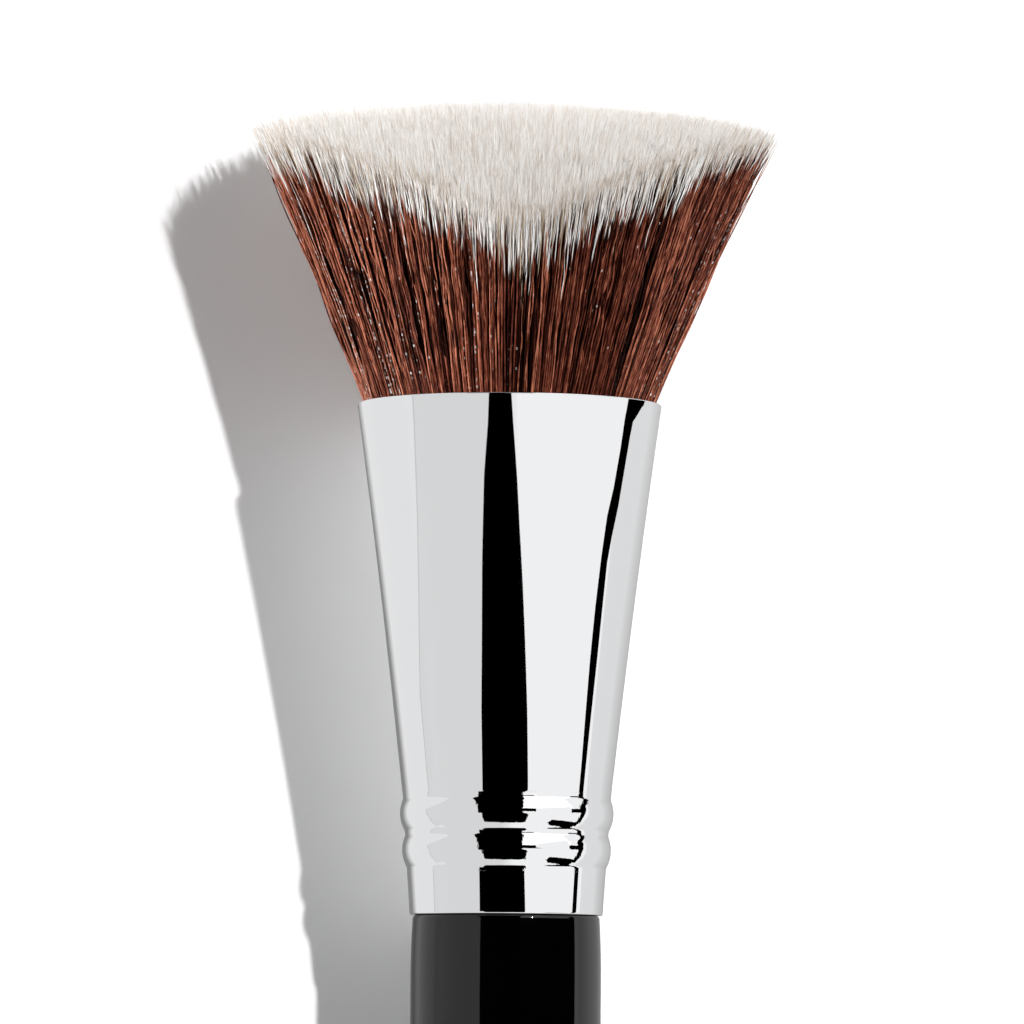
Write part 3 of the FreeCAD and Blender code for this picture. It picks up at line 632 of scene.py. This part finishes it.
for group in FIBRE_GROUPS:
    count, sides = group["count"], group["sides"]
    planting = [group[key] for key in ("least", "most", "gain", "share")]
    habit = {key: group[key] for key in ("levels", "depth", "short_share", "sway", "crimp", "stray_share")}
    for number in range(1, group["pieces"] + 1):
        base, lean, reach = planted(count, *planting)
        strand = nearest_strand(base)
        tip_side = (base + lean)[:, 0] - TIP_LEAN
        left_side, right_side = ramp(tip_side, 0, SIDE_FULL), ramp(-tip_side, 0, SIDE_FULL)
        edge = ramp(np.abs(tip_side), EDGE_START, EDGE_WIDTH)
        sunk = ramp(-reach, -SUNK_START, SUNK_WIDTH)
        far_right = ramp(-tip_side, FAR_START, FAR_WIDTH) * ramp(reach, OUTER_START, OUTER_WIDTH)
        on_ridge = np.exp(-((tip_side - RIDGE_SIDE) / RIDGE_WIDTH) ** 2) * (lean[:, 1] > 0)
        white = np.interp(reach, WHITE_REACHES, WHITE_LENGTHS)
        white = white + RIDGE_WHITE * on_ridge + FAR_WHITE * far_right
        white = white + strand_white[strand] + rng.normal(0, WHITE_SPREAD, count)
        lines = fibre_lines(base, lean, strand, **habit)
        height = (lines[0] - MOUTH) / (lines[0][:, -1:] - MOUTH)
        shade = np.interp(height, SHADE_HEIGHTS, group["painted_shade_tones"])
        # Fibres that get painted glints and a painted highlight on their brown, most of them on the left half
        # and at the two edges.
        painted_glint_weight = np.where(rng.random(count) < PAINTED_GLINT_SHARE,
                            np.clip(left_side + PAINTED_GLINT_EDGE * edge, 0, 1), 0.0)
        # Painted light and shade in the brown: lighter on the left half and at the two edges, a little darker
        # on the right, and darker for fibres just below the surface, most of all on the right.
        brighter = FULL_TONE + LEFT_PAINTED_LIGHT * left_side - RIGHT_PAINTED_SHADE * right_side
        brighter = brighter + EDGE_PAINTED_LIGHT * edge + PAINTED_GLINT_LIGHT * painted_glint_weight
        brighter = brighter - SUNK_PAINTED_SHADE * (1 + right_side) * sunk
        brighter = brighter * (1 + rng.normal(0, TONE_SPREAD, count))
        marks = {
            "white_length": np.clip(white, WHITE_LEAST, None),
            "tone": np.clip(shade * brighter[:, None] + strand_tone[strand][:, None], 0, 1),
            "pale": np.clip(group["paleness"] + strand_tone[strand]
                            + rng.normal(0, PALE_SPREAD, count), 0, 1),
            "own": rng.uniform(0, 1000, count),
            "painted_glints": PAINTED_GLINTS_LEAST + PAINTED_GLINTS_MORE * painted_glint_weight * rng.random(count),
        }
        if not group["has_painted_glints"]:
            marks["painted_glints"] = np.full(count, PAINTED_GLINTS_NONE)
        fibres = fibre_piece(f"tuft_{group['name']}_{number}", sides, group["thickness"], *lines, marks)
        fibres.data.materials.append(dyed_with_painted_light)
        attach(fibres, "root")

# Table and studio. A white table top in low soft light, most of it from the left, with a small hard lamp
# at the upper right for the shadow. The camera sees the table lifted to white right of the brush: painted
# light. The polished surfaces alone show the lamps' screens, the dark gap between them, the slit under the
# right one, a white card by the beads, a flag by the handle, glowing panels for the table and a frame line
# on the left, and a painted reflection of the table with a painted shadow along the brush.

mesh = bpy.data.meshes.new("table")
mesh.from_pydata([(-3, -3, 0), (3, -3, 0), (3, 3, 0), (-3, 3, 0)], [], [(0, 1, 2, 3)])
table = bpy.data.objects.new("table", mesh)
bpy.context.collection.objects.link(table)
paper, tree, shader = new_finish("white table")
shader.inputs["Base Color"].default_value = (0.95, 0.95, 0.95, 1)
shader.inputs["Roughness"].default_value = 0.9
shader.inputs["Specular IOR Level"].default_value = 0
shader.inputs["Emission Color"].default_value = (1, 1, 1, 1)
place = linked(tree, "ShaderNodeTexCoord").outputs["Object"]
across = linked(tree, "ShaderNodeSeparateXYZ", {0: place}).outputs["Y"]
reach = linked(tree, "ShaderNodeMapRange", {"Value": across, "From Min": -0.2, "From Max": 0.2})
# What the polished surfaces show of the table: a painted reflection, with a painted shadow along the brush and
# lighter away from it.
TABLE_PAINTED_REFLECTION = ((0, 1), (0.17, 1), (0.2, 0.82), (0.43, 0.8), (0.465, 0.55), (0.485, 0.3), (0.535, 0.25),
               (0.55, 0.86), (1, 0.86))
painted_reflection = colour_ramp(tree, reach.outputs["Result"], [(spot, (grey,) * 3) for spot, grey in TABLE_PAINTED_REFLECTION])
path = linked(tree, "ShaderNodeLightPath")
mirrored = linked(tree, "ShaderNodeMath", {0: path.outputs["Is Glossy Ray"],
                                           1: path.outputs["Is Transmission Ray"]},
                  operation="MAXIMUM").outputs[0]
painted_reflection_glow = linked(tree, "ShaderNodeEmission", {"Color": painted_reflection})
# Painted light: the camera sees the table lifted more to the right of the brush than to its left, which washes
# out the brush's shade there.
white = linked(tree, "ShaderNodeMapRange", {"Value": across, "From Min": -0.02, "From Max": 0.0,
                                            "To Min": 0.3, "To Max": 0.035}).outputs["Result"]
painted_light_lift = linked(tree, "ShaderNodeMath", {0: path.outputs["Is Camera Ray"], 1: white},
              operation="MULTIPLY").outputs[0]
tree.links.new(painted_light_lift, shader.inputs["Emission Strength"])
both = linked(tree, "ShaderNodeMixShader", {0: mirrored, 1: shader.outputs[0], 2: painted_reflection_glow.outputs[0]})
tree.links.new(both.outputs[0], tree.nodes["Material Output"].inputs["Surface"])
table.data.materials.append(paper)


def reflected_panel(name, corners, grey):
    """A flat panel through corners in millimetres on the brush's axes, seen by reflections only."""
    places = np.array(corners, float)
    mesh = bpy.data.meshes.new(name)
    mesh.from_pydata(on_brush(*places.T).tolist(), [], [tuple(range(len(places)))])
    panel = bpy.data.objects.new(name, mesh)
    bpy.context.collection.objects.link(panel)
    cloth, tree, shader = new_finish(name)
    shader.inputs["Base Color"].default_value = (0, 0, 0, 1)
    shader.inputs["Specular IOR Level"].default_value = 0
    shader.inputs["Emission Color"].default_value = (1, 1, 1, 1)
    shader.inputs["Emission Strength"].default_value = grey
    panel.data.materials.append(cloth)
    for ray in ("camera", "diffuse", "transmission", "volume_scatter", "shadow"):
        setattr(panel, "visible_" + ray, False)


GAP_HEIGHT, SLIT_SIDE, SLIT_END_SIDE, LEFT_SIDE, CARD_SIDE = 150, -60, -30, 60, -20
gap_edge = [(112, 36), (103.4, 44.5), (101, 47.5), (96.6, 57.9), (89.7, 66.6), (82.9, 72.3), (77.4, 77.8),
            (71.6, 79.3), (-18, 79), (-18, -57), (73, -57.7), (79, -49), (84.5, -38.6), (89.6, -28.7),
            (93.9, -19.6), (97.6, -13), (102, -3.6), (104.2, 0.4), (112, 16)]
reflected_panel("dark_gap", [(station, side, GAP_HEIGHT) for station, side in gap_edge], 0.0)
slit_edge = [(132, -52), (127.3, -24), (125, -11.3), (123.5, -9.5), (120.2, -7.1), (117.4, -4.9),
             (114.6, -0.9), (112.2, 1.6), (104.4, 1.6), (95, 3.4), (89, 4.4), (60, 5), (60, 11.4), (86.2, 11.2),
             (95, 10.2), (103.5, 11.3), (107.8, 10.9), (112.1, 9.5), (115.5, 7.6), (118.1, 3.6), (121.5, 0.8),
             (124, -0.3), (127.3, -3), (132, -7)]
reflected_panel("dark_slit", [(station, SLIT_SIDE, height) for station, height in slit_edge], 0.0)
end_edge = [(131, -9.5), (128.9, -6.3), (128.6, -4.9), (127.9, -2.9), (127, -0.3), (126.3, 0.2), (126, 4.6),
            (126.7, 4.5), (127.3, 4.3), (127.9, 3.8), (131, 2)]
reflected_panel("slit_end", [(station, SLIT_END_SIDE, height) for station, height in end_edge], 0.0)
screen_edge = np.array([(60, -2), (86.6, -1.6), (89.4, -1), (95.5, -3.6), (101.6, -4.2), (109.3, 6),
                        (114.6, 11.7), (120.9, 16.2), (123.8, 17.5), (140, 22)])
frame_edge = screen_edge + (0, 1.3)
for name, low, high, grey in (
    ("left_floor", screen_edge * (1, 0) - (0, 30), screen_edge, 0.86),
    ("left_frame", screen_edge, frame_edge, 0.62),
    ("left_screen", frame_edge, screen_edge * (1, 0) + (0, 70), 0.76),
):
    edges = np.concatenate([low, high[::-1]])
    reflected_panel(name, [(station, LEFT_SIDE, height) for station, height in edges], grey)
card_edge = [(94, 11.5), (102, 11.5), (102.7, 38), (94.9, 38), (94, 26)]
reflected_panel("white_card", [(station, CARD_SIDE, height) for station, height in card_edge], 1.0)

world = bpy.data.worlds.new("studio")
bpy.context.scene.world = world
world.use_nodes = True
tree = world.node_tree
surround = tree.nodes["Background"]
way = linked(tree, "ShaderNodeTexCoord").outputs["Generated"]
left = linked(tree, "ShaderNodeSeparateXYZ", {0: way}).outputs["Y"]
ahead = linked(tree, "ShaderNodeVectorMath", {0: way, 1: ALONG.tolist()},
               operation="DOT_PRODUCT").outputs["Value"]
over = linked(tree, "ShaderNodeVectorMath", {0: way, 1: UPWARDS.tolist()},
              operation="DOT_PRODUCT").outputs["Value"]


def within(value, low, high):
    """1 where a value lies between two bounds, else 0."""
    middle, reach = (low + high) / 2, (high - low) / 2
    return linked(tree, "ShaderNodeMath", {0: value, 1: middle, 2: reach}, operation="COMPARE").outputs[0]


def where_all(*masks):
    """The product of masks."""
    product = masks[0]
    for mask in masks[1:]:
        product = linked(tree, "ShaderNodeMath", {0: product, 1: mask}, operation="MULTIPLY").outputs[0]
    return product


far_gap = where_all(within(ahead, -0.13, 0.8), within(left, -0.269, 0.542), within(over, 0, 1))
flag = where_all(within(ahead, -0.035, 0.14), within(left, -1, -0.2), within(over, 0.02, 1))
stand = where_all(within(ahead, -0.66, -0.42), within(left, -0.92, -0.62), within(over, -0.1, 0.56))
screens = linked(tree, "ShaderNodeMapRange", {"Value": left, "From Min": -0.1, "From Max": 0.1,
                                              "To Min": 1.0, "To Max": 0.76}).outputs["Result"]
in_front = where_all(within(ahead, 0.14, 0.75), within(left, -1, 0), within(over, 0.25, 1))
FRONT_GAIN = 0.4
brighter_front = linked(tree, "ShaderNodeMath", {0: in_front, 1: FRONT_GAIN, 2: 1.0},
                        operation="MULTIPLY_ADD").outputs[0]
screens = where_all(screens, brighter_front)
dark = linked(tree, "ShaderNodeMath", {0: far_gap, 1: flag}, operation="MAXIMUM").outputs[0]
dark = linked(tree, "ShaderNodeMath", {0: dark, 1: stand}, operation="MAXIMUM").outputs[0]
path = linked(tree, "ShaderNodeLightPath")
mirrored = linked(tree, "ShaderNodeMath", {0: path.outputs["Is Glossy Ray"],
                                           1: path.outputs["Is Transmission Ray"]},
                  operation="MAXIMUM").outputs[0]
shown = linked(tree, "ShaderNodeMix", {"Factor": dark, "A": screens, "B": 0.0}).outputs[0]
beside = linked(tree, "ShaderNodeMath", {0: left}, operation="ABSOLUTE").outputs[0]
steep = linked(tree, "ShaderNodeMath", {0: beside, 1: 20.0}, operation="POWER").outputs[0]
level = linked(tree, "ShaderNodeMapRange", {"Value": left, "From Min": -0.1, "From Max": 0.1, "To Min": 2.0,
                                            "To Max": 27.0}).outputs["Result"]
fill = linked(tree, "ShaderNodeMath", {0: steep, 1: level, 2: 0.04}, operation="MULTIPLY_ADD").outputs[0]
lit = linked(tree, "ShaderNodeMix", {"Factor": mirrored, "A": fill, "B": shown}).outputs[0]
seen = linked(tree, "ShaderNodeMix", {"Factor": path.outputs["Is Camera Ray"], "A": lit, "B": 1.0}).outputs[0]
tree.links.new(seen, surround.inputs["Strength"])
surround.inputs["Color"].default_value = (1, 1, 1, 1)

LAMP_WAY, LAMP_STRENGTH, LAMP_WIDTH = (0.31, -0.6, 1.0), 2.9, math.radians(1.5)
towards = np.array(LAMP_WAY)
towards /= np.linalg.norm(towards)
side = np.cross([0, 0, 1], towards)
side /= np.linalg.norm(side)
lamp = bpy.data.lights.new("hard_lamp", "SUN")
lamp.energy = LAMP_STRENGTH
lamp.angle = LAMP_WIDTH
key = bpy.data.objects.new("hard_lamp", lamp)
bpy.context.collection.objects.link(key)
key.matrix_world = Matrix(np.stack([side, np.cross(towards, side), towards], axis=1).tolist()).to_4x4()

# Camera. A long lens square above the ferrule, a little towards the tail and to the left.

CENTRE_STATION, CENTRE_SIDE = 121.84, -0.25
DISTANCE, LENS = 612.6, 272.46
TOWARDS_TAIL, TO_THE_LEFT, ROLL = math.radians(4.17), math.radians(1.5), math.radians(0.39)
lens = bpy.data.cameras.new("camera")
lens.lens, lens.sensor_width = LENS, 36
lens.clip_start, lens.clip_end = 0.01, 20
camera = bpy.data.objects.new("camera", lens)
bpy.context.collection.objects.link(camera)
square = math.cos(TO_THE_LEFT) * UPWARDS + math.sin(TO_THE_LEFT) * SIDEWAYS
back = math.cos(TOWARDS_TAIL) * square - math.sin(TOWARDS_TAIL) * ALONG
right = np.cross(ALONG, back)
right /= np.linalg.norm(right)
up = np.cross(back, right)
right, up = (math.cos(ROLL) * right + math.sin(ROLL) * up, math.cos(ROLL) * up - math.sin(ROLL) * right)
camera.matrix_world = Matrix(np.stack([right, up, back], axis=1).tolist()).to_4x4()
camera.location = (on_brush(CENTRE_STATION, CENTRE_SIDE, 0) + back * DISTANCE / 1000).tolist()
bpy.context.scene.camera = camera
bpy.context.scene.view_settings.view_transform = "Standard"
